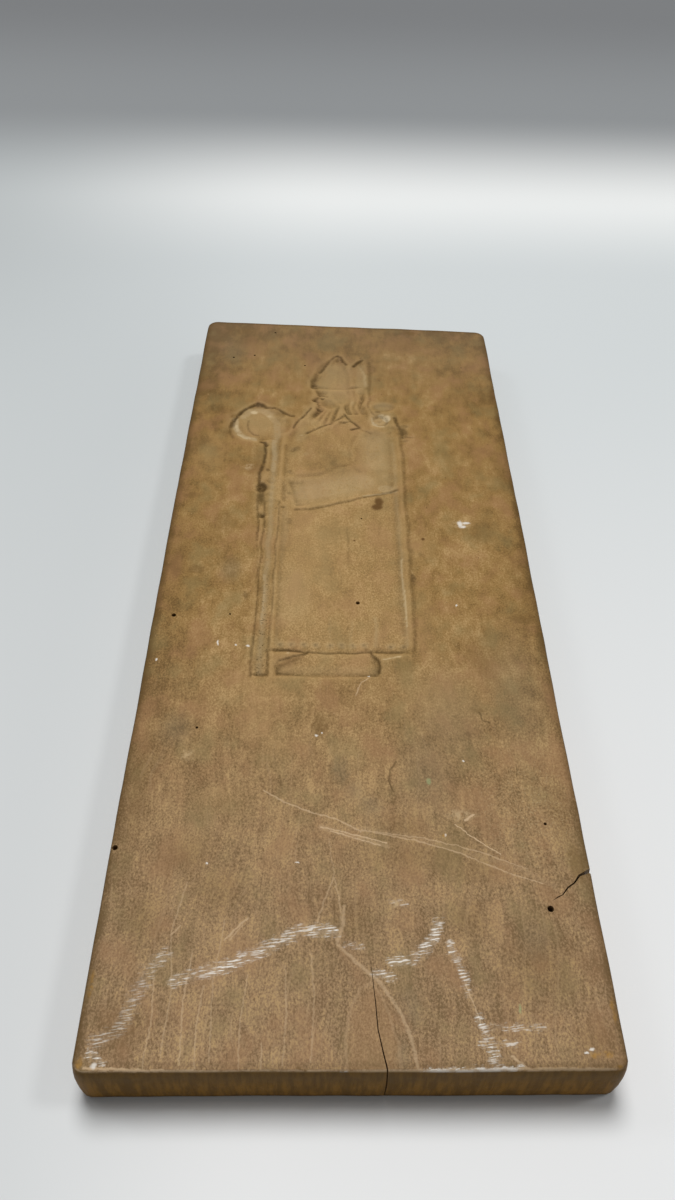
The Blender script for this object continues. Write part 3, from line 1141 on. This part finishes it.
def stage_material(look):
    """A table that brightens towards the backdrop, which darkens again as it goes back."""
    material = bpy.data.materials.new("pale_table")
    graph = Graph(material)
    place = graph.node("ShaderNodeTexCoord", {}, [], "Object")
    across, distance = place.part(0), place.part(1)
    table = graph.mix(graph.band(distance, 0.24, -0.2), look.table, look.near_table)
    bright = graph.mix(graph.band(distance, 0.29, 0.42), table, look.bright_band)
    backward = graph.band(distance, 0.1, 0.36)
    shaded = graph.band(across, 0.0, -0.28) * backward
    shaded = shaded + graph.band(across, -0.02, -0.12) * (1 - backward) * 0.5
    side = graph.mix(shaded, bright, look.shaded_table)
    behind = graph.mix(graph.band(distance, 0.385, 0.57), side, look.backdrop)
    far = graph.mix(graph.band(distance, 0.56, 0.86), behind, look.dark_backdrop)
    graph.finish(Base_Color=far, Roughness=0.7, Specular_IOR_Level=0.1)
    return material


class SPECULAAS_OT_board(bpy.types.Operator):
    """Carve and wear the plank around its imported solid"""

    bl_idname = "speculaas.board"
    bl_label = "Carve the board"

    def execute(self, context):
        shape = context.scene.board_shape
        relief = Relief(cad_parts["board"], shape.softness, shape.hand_wear)
        board = new_object("carved_board", plank_mesh(shape, relief))
        cut_damage(board)
        mark_surface(board.data, relief)
        board.data.shade_smooth()
        board.data.set_sharp_from_angle(angle=math.radians(50))
        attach(board, "root")
        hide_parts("board")
        return {"FINISHED"}


class SPECULAAS_OT_finish(bpy.types.Operator):
    """Give the board its old wood"""

    bl_idname = "speculaas.finish"
    bl_label = "Finish the wood"

    def execute(self, context):
        board = find_object("carved_board")
        board.data.materials.clear()
        board.data.materials.append(board_material(context.scene.board_finish))
        return {"FINISHED"}


class SPECULAAS_OT_stage(bpy.types.Operator):
    """Set up the table, the light and the camera"""

    bl_idname = "speculaas.stage"
    bl_label = "Set the stage"

    def execute(self, context):
        look = context.scene.stage_look
        bm = bmesh.new()
        bmesh.ops.create_grid(bm, x_segments=1, y_segments=1, size=3)
        mesh = bpy.data.meshes.new("table")
        bm.to_mesh(mesh)
        bm.free()
        table = new_object("table", mesh)
        table.data.materials.append(stage_material(look))
        self.light(look)
        self.camera(look)
        return {"FINISHED"}

    def light(self, look):
        """A wide light high over the far end, a narrower one from each side, and the room's even light."""
        self.lamp("overhead_light", look.overhead, 26, (0.05, -0.36, -1))
        self.lamp("left_window", look.left_window, 14, (0.9, -0.5, -0.95))
        self.lamp("right_window", look.right_window, 10, (-0.6, -0.1, -0.8))
        world = bpy.data.worlds.new("room")
        world.use_nodes = True
        background = world.node_tree.nodes["Background"]
        background.inputs["Color"].default_value = (1, 1, 1, 1)
        background.inputs["Strength"].default_value = look.room
        bpy.context.scene.world = world

    def lamp(self, name, energy, spread, direction):
        """Distant light of the given spread in degrees, shining in a direction."""
        light = bpy.data.lights.new(name, "SUN")
        light.energy = energy
        light.angle = math.radians(spread)
        lamp = bpy.data.objects.new(name, light)
        lamp.rotation_euler = Vector(direction).to_track_quat("-Z", "Y").to_euler()
        bpy.context.scene.collection.objects.link(lamp)

    def camera(self, look):
        """The photograph's viewpoint: close over the near end, looking down along the board."""
        data = bpy.data.cameras.new("camera")
        data.lens = 30
        data.sensor_width = 36
        camera = bpy.data.objects.new("camera", data)
        turn = Matrix.Rotation(-look.yaw, 4, "Z") @ Matrix.Rotation(math.pi / 2 - look.pitch, 4, "X")
        turn = turn @ Matrix.Rotation(look.roll, 4, "Z")
        x, y, z = VIEWER
        camera.matrix_world = Matrix.Translation((x * MM, LOW.y + y * MM, HIGH.z + z * MM)) @ turn
        bpy.context.scene.collection.objects.link(camera)
        bpy.context.scene.camera = camera


class SPECULAAS_PT_panel(bpy.types.Panel):
    """The board's operators and settings"""

    bl_label = "Speculaas board"
    bl_idname = "SPECULAAS_PT_panel"
    bl_space_type = "VIEW_3D"
    bl_region_type = "UI"
    bl_category = "Speculaas"

    def draw(self, context):
        for operator in OPERATORS:
            self.layout.operator(operator.bl_idname)
        for group in (context.scene.board_shape, context.scene.board_finish, context.scene.stage_look):
            for name in group.__annotations__:
                self.layout.prop(group, name)


OPERATORS = (SPECULAAS_OT_board, SPECULAAS_OT_finish, SPECULAAS_OT_stage)
CLASSES = (BoardShape, BoardFinish, StageLook, *OPERATORS, SPECULAAS_PT_panel)


def register():
    for item in CLASSES:
        bpy.utils.register_class(item)
    bpy.types.Scene.board_shape = PointerProperty(type=BoardShape)
    bpy.types.Scene.board_finish = PointerProperty(type=BoardFinish)
    bpy.types.Scene.stage_look = PointerProperty(type=StageLook)


def unregister():
    del bpy.types.Scene.stage_look
    del bpy.types.Scene.board_finish
    del bpy.types.Scene.board_shape
    for item in reversed(CLASSES):
        bpy.utils.unregister_class(item)


def main():
    register()
    bpy.context.scene.view_settings.view_transform = "Standard"
    bpy.ops.speculaas.board()
    bpy.ops.speculaas.finish()
    bpy.ops.speculaas.stage()


if __name__ == "__main__":
    main()
